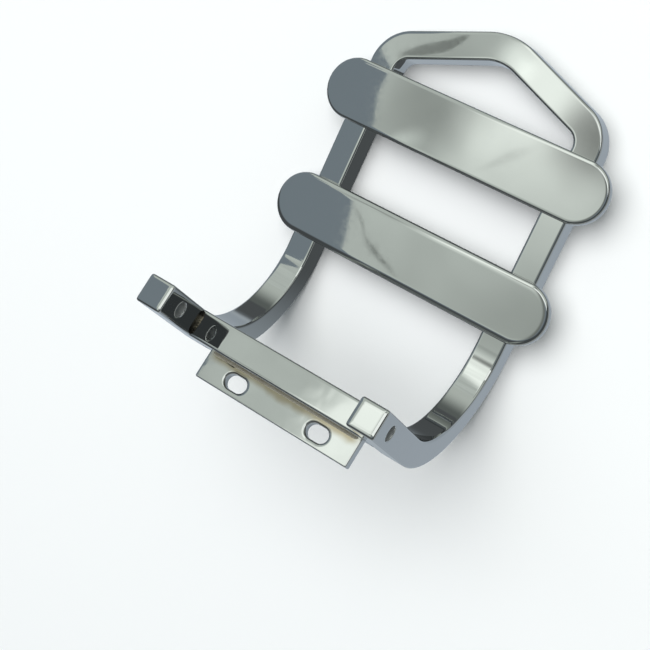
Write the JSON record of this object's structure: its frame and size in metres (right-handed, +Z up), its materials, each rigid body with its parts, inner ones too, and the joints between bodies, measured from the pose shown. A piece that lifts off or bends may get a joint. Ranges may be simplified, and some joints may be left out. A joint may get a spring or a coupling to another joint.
{
  "type": "motorcycle luggage rack",
  "caption": "Small chrome plated motorcycle luggage rack: a bent square bar with a rear loop and leaning ears, flat slats across it, a cross bar and a slotted bolt plate.",
  "frame": {"origin": "middle of the footprint, on the plane of the rails' undersides, on the mirror plane", "axes": "+Z up out of the deck, +Y towards the rear loop, X along the slats"},
  "size_m": [0.1424, 0.1856, 0.1153],
  "materials": {
    "chrome_plate": "polished steel with bright chrome plating",
    "weld_bead": "unpolished weld bead under the plating, slightly yellow"
  },
  "bodies": {
    "root": {"frame_bar": "chrome_plate", "front_slat": "chrome_plate", "rear_slat": "chrome_plate", "cross_bar": "chrome_plate", "bolt_plate": "chrome_plate", "front_slat_left_inner_weld": "weld_bead", "front_slat_left_outer_weld": "weld_bead", "front_slat_right_inner_weld": "weld_bead", "front_slat_right_outer_weld": "weld_bead", "rear_slat_left_inner_weld": "weld_bead", "rear_slat_left_outer_weld": "weld_bead", "rear_slat_right_inner_weld": "weld_bead", "rear_slat_right_outer_weld": "weld_bead", "cross_bar_left_weld": "weld_bead", "cross_bar_right_weld": "weld_bead", "bolt_plate_weld": "weld_bead"}
  },
  "joints": []
}
